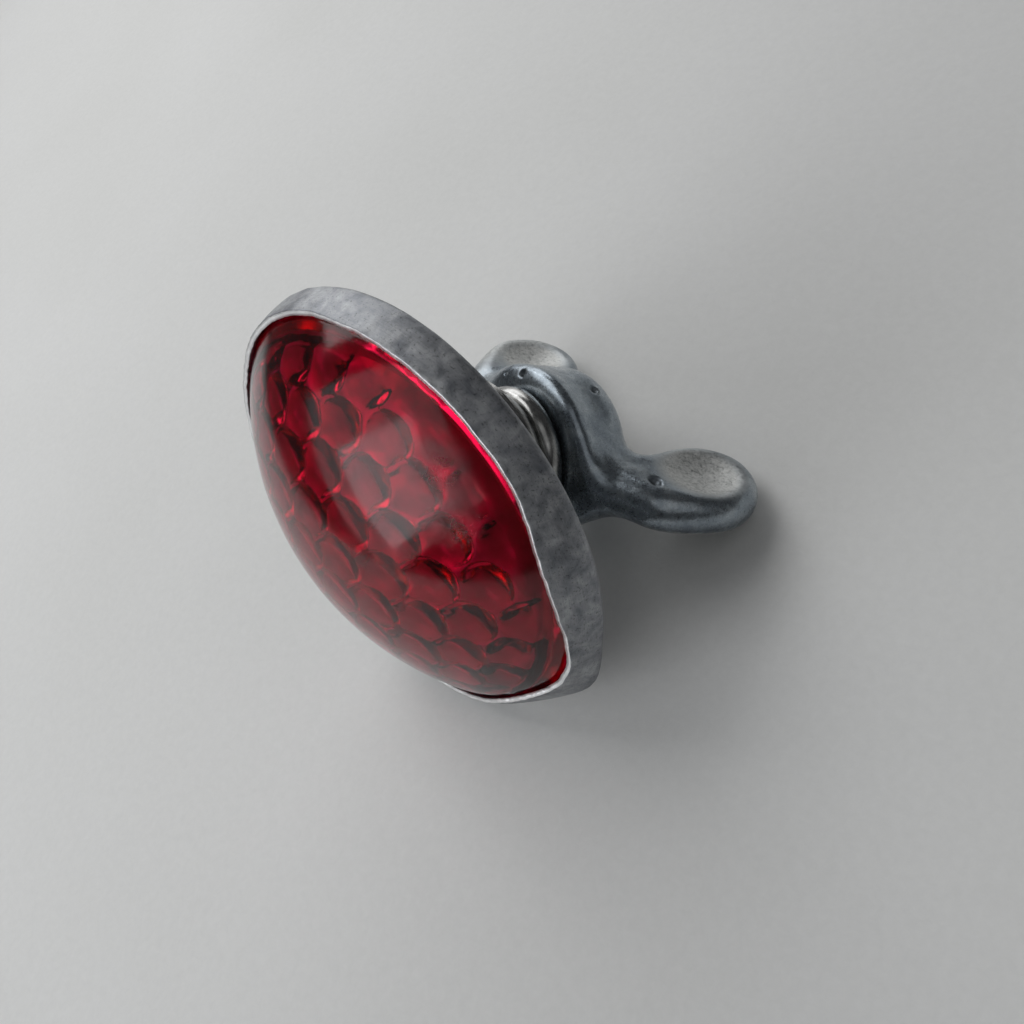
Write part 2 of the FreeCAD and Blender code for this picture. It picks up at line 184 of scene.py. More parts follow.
# ---------------------------------------------------------------- rim
LIP = [(-180, 20.7), (-150, 20.62), (-120, 20.3), (-105, 19.7), (-90, 19.25), (-75, 19.86), (-62, 20.76), (-54, 21.2), (-50, 20.89),
       (-42, 20.37), (-34, 20.05), (-27, 19.94), (-20, 20.0), (-13, 20.3), (-6, 20.53), (-1, 20.9), (9, 20.81), (20, 20.87),
       (31, 20.78), (44, 20.82), (52, 20.77), (60, 21.02), (72, 21.0), (86, 20.85), (110, 20.6), (140, 20.75), (180, 20.7)]


def make_rim():
    wall = [(20.86, -0.02, 1.0), (20.93, 0.03, 0.97), (21.00, 0.14, 0.86), (21.22, 0.50, 0.66), (21.45, 0.92, 0.48), (21.66, 1.36, 0.30), (21.83, 1.80, 0.14),
            (21.95, 2.20, 0.04), (22.0, 2.50, 0.0), (21.97, 2.80, 0.0), (21.84, 3.05, 0.0), (21.58, 3.24, 0.0), (21.2, 3.30, 0.0),
            (20.6, 3.31, 0.0), (19.66, 3.31, 0.0), (19.58, 3.24, 0.0), (19.58, 2.94, 0.0), (19.66, 2.87, 0.0), (20.6, 2.87, 0.0),
            (21.15, 2.86, 0.0), (21.4, 2.74, 0.0), (21.52, 2.5, 0.0), (21.49, 2.2, 0.04), (21.37, 1.86, 0.14), (21.2, 1.46, 0.30),
            (21.0, 1.08, 0.48), (20.79, 0.76, 0.66), (20.56, 0.50, 0.86), (20.42, 0.20, 0.97), (20.38, 0.03, 1.0)]
    n = 900
    phi = np.linspace(0, 2 * math.pi, n, endpoint=False)
    deg = (np.degrees(phi) + 180) % 360 - 180
    lip = np.interp(deg, [a for a, _ in LIP], [b for _, b in LIP])
    ker = np.exp(-(np.arange(-12, 13) / 6.0) ** 2)
    lip = np.convolve(np.concatenate([lip[-12:], lip, lip[:12]]), ker / ker.sum(), "valid")
    circ = np.stack([np.cos(phi), np.sin(phi)], -1)
    nick = smooth_noise(np.concatenate([circ * 20 / 1.6, np.zeros((n, 1))], -1), 11, 3)
    slow = smooth_noise(np.concatenate([circ * 20 / 14, np.zeros((n, 1))], -1), 12, 2)
    lip = lip + 0.06 * nick
    dome = DOME_C - np.sqrt(DOME_R ** 2 - np.minimum(lip - 0.2, 20.3) ** 2)
    lip_y = np.minimum(0.0, dome - 0.42) + 0.05 * np.roll(nick, 5)
    dent = np.exp(-((deg + 66) / 10.0) ** 2)
    flat = np.exp(-((deg + 88) / 9.0) ** 2)
    kink = np.exp(-((deg - 118) / 7.0) ** 2)
    crown = np.exp(-((deg - 105) / 38.0) ** 2)
    m = len(wall)
    pts = np.zeros((n, m, 3))
    for k, (r, y, w) in enumerate(wall):
        rr = r + (lip - 20.72) * w + 0.05 * slow
        yy = y + lip_y * w
        outer = k < 14
        rr = rr + 0.75 * dent * (0.35 + 0.65 * (1 - w)) - 0.25 * flat * (1 - w) - (0.18 * kink + 0.40 * crown) * (1 - w)
        band = 0.22 * dent * math.exp(-((y - 1.3) / 0.45) ** 2) if outer else 0.22 * dent * math.exp(-((y - 1.5) / 0.45) ** 2)
        rr = rr - band
        ripple = 0.03 * smooth_noise(np.concatenate([circ * 22 / 3.0, np.full((n, 1), y / 2.0)], -1), 21, 2)
        rr = rr + ripple * (0.5 + 0.5 * (1 - w))
        pts[:, k, 0] = rr * np.cos(phi)
        pts[:, k, 1] = yy
        pts[:, k, 2] = rr * np.sin(phi)
    faces, cut = [], []
    for i in range(n):
        j = (i + 1) % n
        for k in range(m):
            l = (k + 1) % m
            faces.append((i * m + k, j * m + k, j * m + l, i * m + l))
            cut.append(k == m - 1)
    return head(pts.reshape(-1, 3)), faces, cut


# ---------------------------------------------------------------- wing nut
# A distance field: waisted hub, two thick arms and two dished lobes melted into
# each other, skinned with quads. Its own axes: x along the wings, y the stud.
NUT_X = np.array([0.6975, 0.0, -0.7166])
NUT_Z = np.array([0.7166, 0.0, 0.6975])


def smin(a, b, k):
    h = np.clip(0.5 + 0.5 * (b - a) / k, 0, 1)
    return b * (1 - h) + a * h - k * h * (1 - h)


def smax(a, b, k):
    return -smin(-a, -b, k)


def capsule2(x, y, ax, ay, bx, by, ra, rb):
    vx, vy = bx - ax, by - ay
    t = np.clip(((x - ax) * vx + (y - ay) * vy) / (vx * vx + vy * vy), 0, 1)
    return np.hypot(x - ax - t * vx, y - ay - t * vy) - (ra + t * (rb - ra))


WINGS = ((1.0, 13.1, 17.05, 5.75), (-1.0, 14.2, 17.0, 5.3))


def wing_field(x, y, z, cx, cy, rad):
    """One wing along +x, leaning to the +z side."""
    lobe = np.hypot(x - cx, y - cy) - rad
    arm = capsule2(x, y, 4.6, 8.6, 12.3, 13.2, 3.5, 4.6)
    out2 = smin(lobe, arm, 2.2)
    far = np.clip((x - 5.0) / 8.0, 0, 1)
    far = far * far * (3 - 2 * far)
    off = -0.9 + 1.85 * far
    half = 3.9 + (2.15 - 3.9) * far
    rho = np.minimum(3.3, half - 0.05)
    a = out2 + rho
    b = np.abs(z - off) - (half - rho)
    return np.minimum(np.maximum(a, b), 0) + np.hypot(np.maximum(a, 0), np.maximum(b, 0)) - rho


def nut_smooth(p):
    x, y, z = p[..., 0], p[..., 1], p[..., 2]
    r = np.hypot(x, z)
    yy = np.clip(y, 6.2, 15.4)
    rad = np.interp(yy, [6.2, 7.4, 9.0, 11.0, 13.2, 15.4], [8.3, 8.1, 7.6, 7.3, 7.05, 6.85])
    a = r - (rad - 2.4)
    b = np.abs(y - 10.21) - (4.0 - 2.4)
    soft = np.minimum(np.maximum(a, b), 0) + np.hypot(np.maximum(a, 0), np.maximum(b, 0)) - 2.4
    foot = smax(r - rad, np.abs(y - 7.9) - 1.68, 2.2)
    d = smin(soft, foot, 1.0)
    for s, cx, cy, lobe in WINGS:
        k = np.interp(y, [8.0, 13.0], [3.6, 1.8 if s > 0 else 2.8])
        d = smin(d, wing_field(s * x, y, s * z, cx, cy, lobe), k)
    for s, cx, cy, lobe in WINGS:
        for f in (1.0, -1.0):
            ball = np.sqrt((x - s * (cx + 0.1)) ** 2 + (y - cy - 0.2) ** 2 + (z - s * 0.95 - f * 9.8) ** 2) - 8.6
            d = smax(d, -ball, 0.9)
    d = smax(d, 6.22 - y, 1.5)
    return smax(d, 4.06 - r, 0.35)


PITS = [((12.63, 11.53, 3.1), 0.62, 0.42), ((13.1, 11.3, 3.0), 0.45, 0.3), ((2.14, 11.65, 6.85), 0.35, 0.15), ((-3.0, 6.9, 6.9), 0.4, 0.2),
        ((-5.2, 7.0, 5.4), 0.35, 0.2)]


def nut_field(p):
    d = nut_smooth(p)
    near = np.abs(d) < 1.2
    q = p[near]
    lump = 0.035 * smooth_noise(q / 3.4, 31, 3)
    r = np.hypot(q[:, 0], q[:, 2])
    keep = np.clip((r - 4.5) / 0.8, 0, 1) * np.clip((q[:, 1] - 6.5) / 0.6, 0, 1)
    dn = d[near] + lump * keep
    for c, rad, _ in PITS:
        ball = np.sqrt(((q - np.array(c)) ** 2).sum(1)) - rad
        dn = np.where(keep > 0, smax(dn, -ball, 0.12), dn)
    d[near] = dn
    return d


def surface_nets(field, lo, hi, step):
    dims = [int(math.ceil((hi[i] - lo[i]) / step)) + 1 for i in range(3)]
    nx, ny, nz = dims
    ax = [lo[i] + step * np.arange(n) for i, n in enumerate(dims)]
    f = field(np.stack(np.meshgrid(*ax, indexing="ij"), -1))
    inside = f < 0
    corners = [(i, j, k) for i in (0, 1) for j in (0, 1) for k in (0, 1)]
    count = np.zeros((nx - 1, ny - 1, nz - 1), np.int32)
    for i, j, k in corners:
        count += inside[i:nx - 1 + i, j:ny - 1 + j, k:nz - 1 + k]
    active = (count > 0) & (count < 8)
    idx = -np.ones(active.shape, np.int64)
    idx[active] = np.arange(active.sum())
    acc = np.zeros(active.shape + (3,))
    cnt = np.zeros(active.shape)
    for a in range(8):
        for b in range(a + 1, 8):
            ca, cb = corners[a], corners[b]
            if sum(abs(u - v) for u, v in zip(ca, cb)) != 1:
                continue
            fa = f[ca[0]:nx - 1 + ca[0], ca[1]:ny - 1 + ca[1], ca[2]:nz - 1 + ca[2]]
            fb = f[cb[0]:nx - 1 + cb[0], cb[1]:ny - 1 + cb[1], cb[2]:nz - 1 + cb[2]]
            cross = (fa < 0) != (fb < 0)
            t = np.where(cross, fa / np.where(cross, fa - fb, 1), 0)
            for q in range(3):
                acc[..., q] += np.where(cross, ca[q] + t * (cb[q] - ca[q]), 0)
            cnt += cross
    pts = acc[active] / cnt[active][:, None]
    verts = np.array(lo) + step * (np.argwhere(active) + pts)
    faces = []
    for axis in range(3):
        o = [q for q in range(3) if q != axis]
        sa = [slice(1, n - 1) for n in dims]
        sa[axis] = slice(0, dims[axis] - 1)
        sb = list(sa)
        sb[axis] = slice(1, dims[axis])
        ia, ib = inside[tuple(sa)], inside[tuple(sb)]
        where = np.argwhere(ia != ib)
        cell = where + np.array([0 if q == axis else 1 for q in range(3)])
        e0, e1 = np.zeros(3, int), np.zeros(3, int)
        e0[o[0]], e1[o[1]] = 1, 1
        quad = np.stack([idx[tuple((cell - e0 - e1).T)], idx[tuple((cell - e1).T)], idx[tuple(cell.T)], idx[tuple((cell - e0).T)]], 1)
        flip = ia[tuple(where.T)]
        if axis == 1:
            flip = ~flip
        quad[~flip] = quad[~flip][:, ::-1]
        faces.append(quad)
    faces = np.concatenate(faces)
    e = 0.3 * step
    for _ in range(3):
        fv = field(verts.copy())
        gr = np.stack([(field(verts + np.eye(3)[q] * e) - field(verts - np.eye(3)[q] * e)) / (2 * e) for q in range(3)], 1)
        verts = verts - np.clip(fv / np.maximum((gr ** 2).sum(1), 0.2), -step, step)[:, None] * gr
    return verts, faces


def make_nut():
    v, f = surface_nets(nut_field, (-20.23, 5.37, -9.71), (20.2, 24.2, 9.6), 0.24)
    rows = v[:, 0:1] * NUT_X + v[:, 1:2] * np.array([0, 1.0, 0]) + v[:, 2:3] * NUT_Z
    pale = np.zeros(len(v))
    for s, cx, cy, lobe in WINGS:
        rr = np.hypot(v[:, 0] - s * cx, v[:, 1] - cy)
        side = s * (v[:, 2] - s * 0.95)
        pale = np.maximum(pale, np.clip((lobe - 0.9 - rr) / 1.6, 0, 1))
        pale = np.maximum(pale, np.clip((v[:, 0] * s - 13.0) / 4.0, 0, 1) * (side < -1.2) * 0.8)
    # Painted shade: a near-black value is painted into and round each pit, standing in for the shade in the hollow.
    pit_shade = np.zeros(len(v))
    for c, rad, deep in PITS:
        pit_shade = np.maximum(pit_shade, np.clip(1.5 - np.sqrt(((v - np.array(c)) ** 2).sum(1)) / rad, 0, 1))
    return rows, f, pale, pit_shade


# ---------------------------------------------------------------- spring washers
def make_ring(y0, start_deg, seed):
    """A ring of bulging section with a slanting split."""
    a, b = 4.28, 6.62
    cy, half, n = y0 + 1.1, 1.09, 26
    sec = []
    for i in range(n):
        t = 2 * math.pi * i / n
        ex = 0.78
        c, s = math.cos(t), math.sin(t)
        sec.append(((a + b) / 2 + (b - a) / 2 * math.copysign(abs(c) ** ex, c), math.copysign(abs(s) ** ex, s) * half))
    m = 260
    gap = 0.9 / 6.0
    pts = []
    for i in range(m):
        for r, y in sec:
            lean = 0.34 * y / half
            t = math.radians(start_deg) + gap / 2 + (2 * math.pi - gap) * i / (m - 1) + lean * gap
            end = min(i, m - 1 - i)
            pull = 0.06 * math.exp(-end / 1.2)
            rr = r + (5.45 - r) * pull
            yy = cy + y * (1 - pull)
            pts.append((rr * math.cos(t), yy, rr * math.sin(t)))
    faces = []
    for i in range(m - 1):
        for k in range(n):
            l = (k + 1) % n
            faces.append((i * n + k, i * n + l, (i + 1) * n + l, (i + 1) * n + k))
    faces.append(tuple(range(n - 1, -1, -1)))
    faces.append(tuple((m - 1) * n + k for k in range(n)))
    return np.array(pts), faces


# ---------------------------------------------------------------- stud
def make_stud():
    """Head, square neck and a right-hand thread of 1.25 mm pitch as one skin."""
    n = 120
    th = np.linspace(0, 2 * math.pi, n, endpoint=False)
    ys = [-5.5, -5.42, -5.2, -4.8, -4.3, -3.6, -2.9, -2.3, -2.02, -1.93, -1.9, -1.86, -1.2, -0.5, -0.16, -0.05, -0.03]
    ys += list(np.arange(0.02, 15.6 - 0.001, 0.07)) + [15.6]
    grid = np.zeros((len(ys), n, 3))
    square = 4.0 / np.maximum(np.abs(np.cos(th)), np.abs(np.sin(th)))
    square = np.minimum(square, 5.2)
    for k, y in enumerate(ys):
        if y <= -1.93:
            t = (y + 5.5) / 3.6
            r = np.full(n, 8.35 * math.sqrt(max(1 - (1 - min(t, 1)) ** 2, 0.003)))
        elif y <= -0.05:
            r = square
        else:
            u = (y / 1.25 - th / (2 * math.pi)) % 1.0
            saw = np.abs(u * 2 - 1)
            saw = np.clip((saw - 0.12) / 0.74, 0, 1)
            r = 3.98 - 0.68 * (1 - saw)
            run_in = np.clip((y - 1.0) / 0.8, 0, 1)
            r = 3.90 + (r - 3.90) * run_in
            r = np.minimum(r, 3.98 - max(0.0, y - 15.05) * 1.1)
        grid[k] = np.stack([r * np.cos(th), np.full(n, y), r * np.sin(th)], -1)
    grid = np.concatenate([grid, grid[-1:] * np.array([0.92, 1.0, 0.92])])
    m = len(grid)
    verts = np.concatenate([grid.reshape(-1, 3), [[0, -5.5, 0], [0, 15.6, 0]]])
    faces = []
    for k in range(m - 1):
        for i in range(n):
            j = (i + 1) % n
            faces.append((k * n + i, (k + 1) * n + i, (k + 1) * n + j, k * n + j))
    for i in range(n):
        j = (i + 1) % n
        faces.append((m * n, i, j))
        faces.append((m * n + 1, (m - 1) * n + j, (m - 1) * n + i))
    return verts, faces


def face_out(ob):
    """Turns the skin outwards if its volume comes out negative."""
    import bmesh
    bm = bmesh.new()
    bm.from_mesh(ob.data)
    if bm.calc_volume(signed=True) < 0:
        bmesh.ops.reverse_faces(bm, faces=bm.faces)
        bm.to_mesh(ob.data)
        ob.data.update()
    bm.free()


def add_value(ob, name, values):
    at = ob.data.attributes.new(name, "FLOAT", "POINT")
    at.data.foreach_set("value", np.asarray(values, np.float32))


v, f = make_lens()
lens = new_mesh("lens_jewel", v, f)
v, f, cut = make_rim()
rim = new_mesh("rim_rolled", v, f)
v, f, pale, pit_shade = make_nut()
nut = new_mesh("wing_nut_cast", v, f)
add_value(nut, "pale", pale)
add_value(nut, "pit_shade", pit_shade)
v, f = make_ring(1.8, 200, 1)
ring_in = new_mesh("spring_ring_inner", v, f)
v, f = make_ring(4.0, 120, 2)
ring_out = new_mesh("spring_ring_outer", v, f)
v, f = make_stud()
stud = new_mesh("stud_threaded", v, f)
for ob in (lens, rim, nut, ring_in, ring_out, stud):
    face_out(ob)
for ob, node, body, slot in ((lens, "lens", "root", "lens_red"), (rim, "bezel", "root", "rim_aluminium"),
                             (nut, "wing_nut", "nut", "nut_zinc"), (ring_in, "spring_washer_inner", "washers", "washer_steel"),
                             (ring_out, "spring_washer_outer", "washers", "washer_steel"), (stud, "mounting_stud", "root", "stud_steel")):
    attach(ob, body)
    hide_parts(node)


# ---------------------------------------------------------------- stage
# The table lies as in the photo: under the lowest point of the rim and both
# wings, with its normal towards the upper left of the picture.
TABLE_N = Vector((0.495, -0.669, 0.554)).normalized()


def table_level():
    lo = 1e9
    for o in (rim, nut, lens):
        co = np.empty(len(o.data.vertices) * 3)
        o.data.vertices.foreach_get("co", co)
        lo = min(lo, float((co.reshape(-1, 3) @ np.array(TABLE_N)).min()))
    return lo


def make_floor():
    d = table_level()
    t1 = (RIGHT - TABLE_N * RIGHT.dot(TABLE_N)).normalized()
    t2 = TABLE_N.cross(t1)
    c = TABLE_N * d
    size = 1.2
    verts, faces = [], []
    n = 24
    for i in range(n + 1):
        for j in range(n + 1):
            u = (i / n * 2 - 1) * size
            v = (j / n * 2 - 1) * size
            verts.append(tuple(c + t1 * u + t2 * v))
    for i in range(n):
        for j in range(n):
            a = i * (n + 1) + j
            faces.append((a, a + n + 1, a + n + 2, a + 1))
    me = bpy.data.meshes.new("floor")
    me.from_pydata(verts, [], faces)
    me.update()
    if me.polygons[0].normal.dot(TABLE_N) < 0:
        me.flip_normals()
    ob = bpy.data.objects.new("floor", me)
    scene.collection.objects.link(ob)
    return ob


# ---------------------------------------------------------------- materials
def material(name):
    mat = bpy.data.materials.new(name)
    mat.use_nodes = True
    nt = mat.node_tree
    nt.nodes.clear()
    out = nt.nodes.new("ShaderNodeOutputMaterial")
    bsdf = nt.nodes.new("ShaderNodeBsdfPrincipled")
    nt.links.new(bsdf.outputs[0], out.inputs[0])
    return mat, nt, bsdf, out


def wear(ob, mat):
    ob.data.materials.clear()
    ob.data.materials.append(mat)


def node(nt, kind, **kw):
    n = nt.nodes.new(kind)
    for k, v in kw.items():
        setattr(n, k, v)
    return n


def noise(nt, vec, scale, detail=4.0, rough=0.55, dist=0.0):
    n = node(nt, "ShaderNodeTexNoise")
    n.inputs["Scale"].default_value = scale
    n.inputs["Detail"].default_value = detail
    n.inputs["Roughness"].default_value = rough
    n.inputs["Distortion"].default_value = dist
    nt.links.new(vec, n.inputs["Vector"])
    return n.outputs["Fac"]


def ramp(nt, fac, stops):
    n = node(nt, "ShaderNodeValToRGB")
    el = n.color_ramp.elements
    while len(el) < len(stops):
        el.new(0.5)
    for e, (pos, col) in zip(el, stops):
        e.position = pos
        e.color = (*col, 1) if isinstance(col, tuple) else (col, col, col, 1)
    nt.links.new(fac, n.inputs["Fac"])
    return n.outputs["Color"]


def mixc(nt, fac, c1, c2, mode="MIX"):
    n = node(nt, "ShaderNodeMix", data_type="RGBA", blend_type=mode)
    for sock, v in ((n.inputs[0], fac), (n.inputs[6], c1), (n.inputs[7], c2)):
        if hasattr(v, "is_output"):
            nt.links.new(v, sock)
        elif isinstance(v, tuple):
            sock.default_value = (*v, 1)
        else:
            sock.default_value = v
    return n.outputs[2]


def calc(nt, op, x, y=0.0, clamp=False):
    n = node(nt, "ShaderNodeMath", operation=op, use_clamp=clamp)
    for sock, v in ((n.inputs[0], x), (n.inputs[1], y)):
        if hasattr(v, "is_output"):
            nt.links.new(v, sock)
        else:
            sock.default_value = v
    return n.outputs[0]


def coords(nt, scale=1000.0, rot=(0, 0, 0)):
    """Object coordinates in mm, turned if asked."""
    tc = node(nt, "ShaderNodeTexCoord")
    mp = node(nt, "ShaderNodeMapping")
    mp.inputs["Scale"].default_value = (scale, scale, scale)
    mp.inputs["Rotation"].default_value = rot
    nt.links.new(tc.outputs["Object"], mp.inputs["Vector"])
    return mp.outputs["Vector"]


def around(nt, tilt, k_turn, k_out, k_along, axis_y=0.0):
    """Coordinates that run round the lens axis (or the stud if tilt is 0)."""
    v = coords(nt, 1000.0, (-tilt, 0, 0))
    sep = node(nt, "ShaderNodeSeparateXYZ")
    nt.links.new(v, sep.inputs[0])
    ang = calc(nt, "ARCTAN2", sep.outputs[2], sep.outputs[0])
    rad = calc(nt, "SQRT", calc(nt, "ADD", calc(nt, "MULTIPLY", sep.outputs[0], sep.outputs[0]),
                                calc(nt, "MULTIPLY", sep.outputs[2], sep.outputs[2])))
    com = node(nt, "ShaderNodeCombineXYZ")
    nt.links.new(calc(nt, "MULTIPLY", ang, k_turn), com.inputs[0])
    nt.links.new(calc(nt, "MULTIPLY", rad, k_out), com.inputs[1])
    nt.links.new(calc(nt, "MULTIPLY", sep.outputs[1], k_along), com.inputs[2])
    return com.outputs[0]


def bump(nt, bsdf, height, strength, dist_mm, prev=None):
    n = node(nt, "ShaderNodeBump")
    n.inputs["Strength"].default_value = strength
    n.inputs["Distance"].default_value = dist_mm * MM
    nt.links.new(height, n.inputs["Height"])
    if prev is not None:
        nt.links.new(prev, n.inputs["Normal"])
    nt.links.new(n.outputs[0], bsdf.inputs["Normal"])
    return n.outputs[0]


def spot(nt, vec, at, radius, soft):
    """1 inside a ball round a point in mm, fading to 0."""
    d = node(nt, "ShaderNodeVectorMath", operation="DISTANCE")
    nt.links.new(vec, d.inputs[0])
    d.inputs[1].default_value = at
    return calc(nt, "DIVIDE", calc(nt, "SUBTRACT", radius + soft, d.outputs["Value"]), soft * 2, clamp=True)


def metal(name, dark, light, r0, r1, scale=0.55, scratch=0.35, tilt=None, stain=0.5):
    """Worn metal: blotches of tone, small specks, fine scratches round the axis."""
    mat, nt, b, _ = material(name)
    v = coords(nt)
    blotch = noise(nt, v, scale, 6.0, 0.6, 0.4)
    fine = noise(nt, v, scale * 7, 5.0, 0.65)
    col = ramp(nt, blotch, [(0.32, dark), (0.52, tuple((p + q) / 2 for p, q in zip(dark, light))), (0.68, light)])
    specks = ramp(nt, fine, [(0.34, 0.35), (0.44, 1.0)])
    col = mixc(nt, stain, col, mixc(nt, 1.0, col, specks, "MULTIPLY"))
    turn = around(nt, tilt if tilt is not None else 0.0, 1.3, 7.0, 9.0)
    line = noise(nt, turn, 3.0, 3.0, 0.7)
    col = mixc(nt, 0.35, col, mixc(nt, 1.0, col, ramp(nt, line, [(0.35, 0.6), (0.65, 1.25)]), "MULTIPLY"))
    nt.links.new(col, b.inputs["Base Color"])
    b.inputs["Metallic"].default_value = 1.0
    rr = ramp(nt, calc(nt, "ADD", calc(nt, "MULTIPLY", blotch, 0.6), calc(nt, "MULTIPLY", fine, 0.4)), [(0.35, r0), (0.65, r1)])
    nt.links.new(rr, b.inputs["Roughness"])
    n1 = bump(nt, b, fine, 0.25, 0.04)
    bump(nt, b, line, scratch, 0.03, n1)
    return mat


def lens_material():
    mat, nt, b, out = material("lens_red")
    v = coords(nt)
    b.inputs["Base Color"].default_value = (0.84, 0.05, 0.30, 1)
    b.inputs["Transmission Weight"].default_value = 1.0
    b.inputs["IOR"].default_value = 1.45
    vol = node(nt, "ShaderNodeVolumeAbsorption")
    vol.inputs["Color"].default_value = (0.89, 0.30, 0.42, 1)
    vol.inputs["Density"].default_value = 520.0
    nt.links.new(vol.outputs[0], out.inputs["Volume"])
    worn = calc(nt, "MAXIMUM", spot(nt, v, (16.84, -12.69, -1.59), 1.6, 1.5), spot(nt, v, (15.57, -11.95, -6.35), 1.3, 1.4))
    crackle = noise(nt, v, 1.3, 8.0, 0.72, 1.2)
    patch = calc(nt, "MULTIPLY", worn, ramp(nt, crackle, [(0.42, 0.0), (0.56, 1.0)]), clamp=True)
    turned = node(nt, "ShaderNodeMapping")
    turned.inputs["Rotation"].default_value = (0.3, 0.9, 0.5)
    turned.inputs["Scale"].default_value = (2.4, 0.12, 2.4)
    nt.links.new(v, turned.inputs["Vector"])
    hair = ramp(nt, noise(nt, turned.outputs[0], 1.0, 2.0, 0.5), [(0.70, 0.0), (0.74, 1.0)])
    haze = ramp(nt, noise(nt, v, 0.22, 4.0, 0.6), [(0.35, 0.07), (0.7, 0.17)])
    rr = calc(nt, "ADD", haze, calc(nt, "MULTIPLY", patch, 0.28))
    rr = calc(nt, "ADD", rr, calc(nt, "MULTIPLY", hair, 0.12), clamp=True)
    nt.links.new(rr, b.inputs["Roughness"])
    n1 = bump(nt, b, patch, 0.35, 0.03)
    n2 = bump(nt, b, hair, 0.12, 0.01, n1)
    bump(nt, b, noise(nt, v, 2.6, 4.0, 0.6), 0.05, 0.01, n2)
    return mat


def nut_material():
    mat, nt, b, _ = material("nut_zinc")
    v = coords(nt)
    pale = node(nt, "ShaderNodeAttribute", attribute_name="pale").outputs["Fac"]
    pit_shade = node(nt, "ShaderNodeAttribute", attribute_name="pit_shade").outputs["Fac"]
    blotch = noise(nt, v, 0.38, 6.0, 0.6, 0.5)
    fine = noise(nt, v, 2.3, 6.0, 0.7)
    grit = noise(nt, v, 5.0, 3.0, 0.6)
    base = ramp(nt, blotch, [(0.30, (0.18, 0.21, 0.245)), (0.52, (0.28, 0.32, 0.355)), (0.70, (0.41, 0.45, 0.48))])
    matte = ramp(nt, fine, [(0.30, (0.34, 0.35, 0.345)), (0.5, (0.56, 0.57, 0.56)), (0.70, (0.68, 0.68, 0.67))])
    col = mixc(nt, pale, base, matte)
    specks = ramp(nt, grit, [(0.30, 0.18), (0.37, 1.0)])
    col = mixc(nt, 0.8, col, mixc(nt, 1.0, col, specks, "MULTIPLY"))
    # Painted shade in the pits: the colour goes near-black round each pit, and those spots are made rougher.
    col = mixc(nt, pit_shade, col, (0.015, 0.015, 0.017))
    curve = node(nt, "ShaderNodeMapping")
    curve.inputs["Scale"].default_value = (0.5, 3.2, 3.2)
    curve.inputs["Rotation"].default_value = (0.2, 0.6, 0.4)
    nt.links.new(v, curve.inputs["Vector"])
    line = noise(nt, curve.outputs[0], 1.2, 3.0, 0.6, 0.6)
    col = mixc(nt, calc(nt, "MULTIPLY", pale, 0.6), col, mixc(nt, 1.0, col, ramp(nt, line, [(0.36, 0.45), (0.44, 1.0)]), "MULTIPLY"))
    nt.links.new(col, b.inputs["Base Color"])
    b.inputs["Metallic"].default_value = 0.92
    r0 = ramp(nt, fine, [(0.35, 0.21), (0.65, 0.36)])
    r1 = calc(nt, "ADD", r0, calc(nt, "MULTIPLY", pale, 0.26))
    nt.links.new(calc(nt, "ADD", r1, calc(nt, "MULTIPLY", pit_shade, 0.4), clamp=True), b.inputs["Roughness"])
    n1 = bump(nt, b, grit, 0.16, 0.05)
    n2 = bump(nt, b, fine, 0.18, 0.05, n1)
    bump(nt, b, line, 0.12, 0.03, n2)
    return mat


def foil_material():
    mat, nt, b, _ = material("foil_bright")
    v = coords(nt)
    col = ramp(nt, noise(nt, v, 0.5, 4.0, 0.5), [(0.35, (0.54, 0.54, 0.56)), (0.65, (0.76, 0.76, 0.76))])
    sep = node(nt, "ShaderNodeSeparateXYZ")
    nt.links.new(around(nt, TILT, 0.0, 1.0, 0.0), sep.inputs[0])
    # Painted shade under the lip: the foil is painted dark beyond 17.2 mm from the lens axis, where the rim's lip
    # shades it.
    lip_shade = calc(nt, "DIVIDE", calc(nt, "SUBTRACT", sep.outputs[1], 17.2), 1.3, clamp=True)
    col = mixc(nt, lip_shade, col, (0.26, 0.25, 0.25))
    nt.links.new(col, b.inputs["Base Color"])
    b.inputs["Metallic"].default_value = 1.0
    rr = ramp(nt, noise(nt, v, 1.2, 4.0, 0.5), [(0.3, 0.42), (0.7, 0.6)])
    nt.links.new(rr, b.inputs["Roughness"])
    bump(nt, b, noise(nt, v, 0.8, 3.0, 0.5), 0.3, 0.1)
    return mat


def rubber_material():
    mat, nt, b, _ = material("gasket_rubber")
    v = coords(nt)
    col = ramp(nt, noise(nt, v, 1.1, 5.0, 0.6), [(0.35, (0.018, 0.018, 0.018)), (0.65, (0.05, 0.05, 0.048))])
    nt.links.new(col, b.inputs["Base Color"])
    rr = ramp(nt, noise(nt, v, 3.0, 3.0, 0.5), [(0.3, 0.6), (0.7, 0.85)])
    nt.links.new(rr, b.inputs["Roughness"])
    bump(nt, b, noise(nt, v, 6.0, 3.0, 0.5), 0.3, 0.03)
    return mat


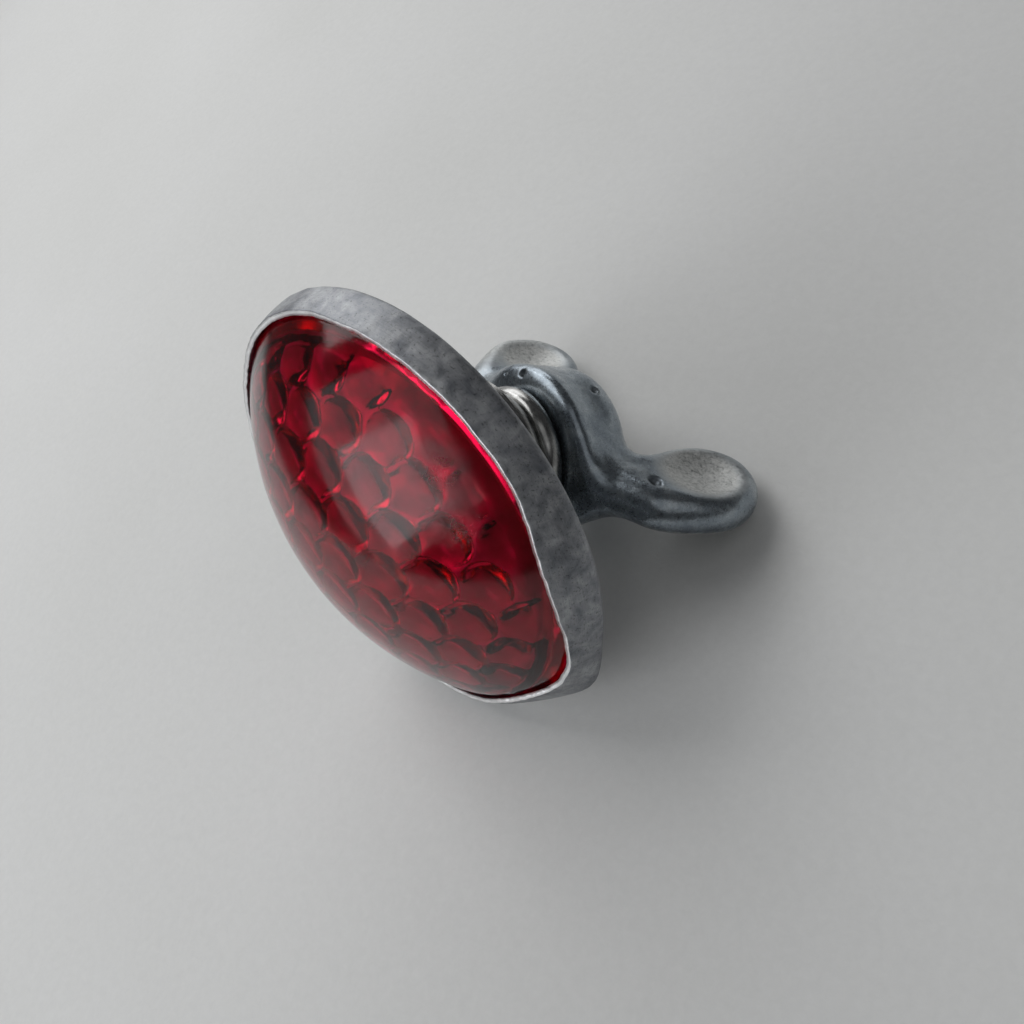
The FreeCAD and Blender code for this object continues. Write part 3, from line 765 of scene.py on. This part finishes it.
def paper_material():
    mat, nt, b, out = material("floor_paper")
    v = coords(nt)
    fibre = noise(nt, v, 1.1, 6.0, 0.7, 0.3)
    wide = noise(nt, v, 0.02, 3.0, 0.5)
    col = mixc(nt, 0.5, ramp(nt, fibre, [(0.25, (0.70, 0.705, 0.695)), (0.75, (0.80, 0.805, 0.795))]),
               ramp(nt, wide, [(0.3, (0.72, 0.725, 0.71)), (0.7, (0.79, 0.795, 0.79))]))
    nt.links.new(col, b.inputs["Base Color"])
    b.inputs["Roughness"].default_value = 0.92
    bump(nt, b, fibre, 0.22, 0.12)
    geo = node(nt, "ShaderNodeNewGeometry")
    clear = node(nt, "ShaderNodeBsdfTransparent")
    mix = node(nt, "ShaderNodeMixShader")
    nt.links.new(geo.outputs["Backfacing"], mix.inputs[0])
    nt.links.new(b.outputs[0], mix.inputs[1])
    nt.links.new(clear.outputs[0], mix.inputs[2])
    nt.links.new(mix.outputs[0], out.inputs[0])
    return mat


floor = make_floor()
wear(floor, paper_material())

wear(lens, lens_material())
wear(NODES["reflector_foil"], foil_material())
rim_mat = metal("rim_aluminium", (0.18, 0.19, 0.21), (0.47, 0.48, 0.495), 0.42, 0.62, 0.6, 0.6, TILT, 0.75)
cut_mat = metal("rim_cut_edge", (0.80, 0.80, 0.81), (0.97, 0.97, 0.97), 0.28, 0.48, 0.9, 0.6, TILT, 0.25)
rim.data.materials.append(rim_mat)
rim.data.materials.append(cut_mat)
rim.data.polygons.foreach_set("material_index", [1 if c else 0 for c in cut])
wear(nut, nut_material())
ring_mat = metal("washer_steel", (0.24, 0.24, 0.235), (0.50, 0.50, 0.49), 0.13, 0.26, 0.6, 0.25, None, 0.35)
for ob in (ring_in, ring_out, NODES["flat_washer"]):
    wear(ob, ring_mat)
shell_mat = metal("shell_zinc", (0.30, 0.31, 0.33), (0.50, 0.51, 0.53), 0.32, 0.5, 0.3, 0.25, TILT, 0.4)
for n in ("back_shell", "stud_plate"):
    wear(NODES[n], shell_mat)
wear(stud, metal("stud_steel", (0.30, 0.30, 0.31), (0.52, 0.52, 0.53), 0.25, 0.45, 0.7, 0.3, None, 0.5))
wear(NODES["gasket_ring"], rubber_material())


# ---------------------------------------------------------------- light
def cam_dir(right, up, back):
    """Direction from its parts along the picture's right and up and towards the camera."""
    return (RIGHT * right + UP * up - FWD * back).normalized()


def area(name, direction, dist, size_x, size_y, power, color=(1, 1, 1), aim=Vector((0, 0, 0))):
    la = bpy.data.lights.new(name, "AREA")
    la.shape = "RECTANGLE"
    la.size, la.size_y = size_x, size_y
    la.energy = power
    la.color = color
    ob = bpy.data.objects.new(name, la)
    scene.collection.objects.link(ob)
    ob.location = aim + direction * dist
    ob.rotation_mode = "QUATERNION"
    ob.rotation_quaternion = (-direction).to_track_quat("-Z", "Y")
    return ob


area("window_key", cam_dir(-0.74, 0.62, 0.24), 0.30, 0.25, 0.23, 0.35)
area("window_side", cam_dir(-0.80, -0.42, 0.34), 0.34, 0.21, 0.19, 0.23, (0.97, 0.98, 1.0))
area("window_side_wide", cam_dir(-0.86, -0.34, 0.34), 0.34, 0.37, 0.34, 0.28, (0.97, 0.98, 1.0))
area("ceiling", cam_dir(-0.34, 0.90, -0.26), 0.45, 0.40, 0.27, 0.68)
area("room_fill", cam_dir(0.16, 0.20, 0.96), 0.36, 0.34, 0.30, 0.11)

world = bpy.data.worlds.new("room")
world.use_nodes = True
world.node_tree.nodes["Background"].inputs["Color"].default_value = (0.75, 0.76, 0.78, 1)
world.node_tree.nodes["Background"].inputs["Strength"].default_value = 0.07
scene.world = world
scene.view_settings.view_transform = "Standard"
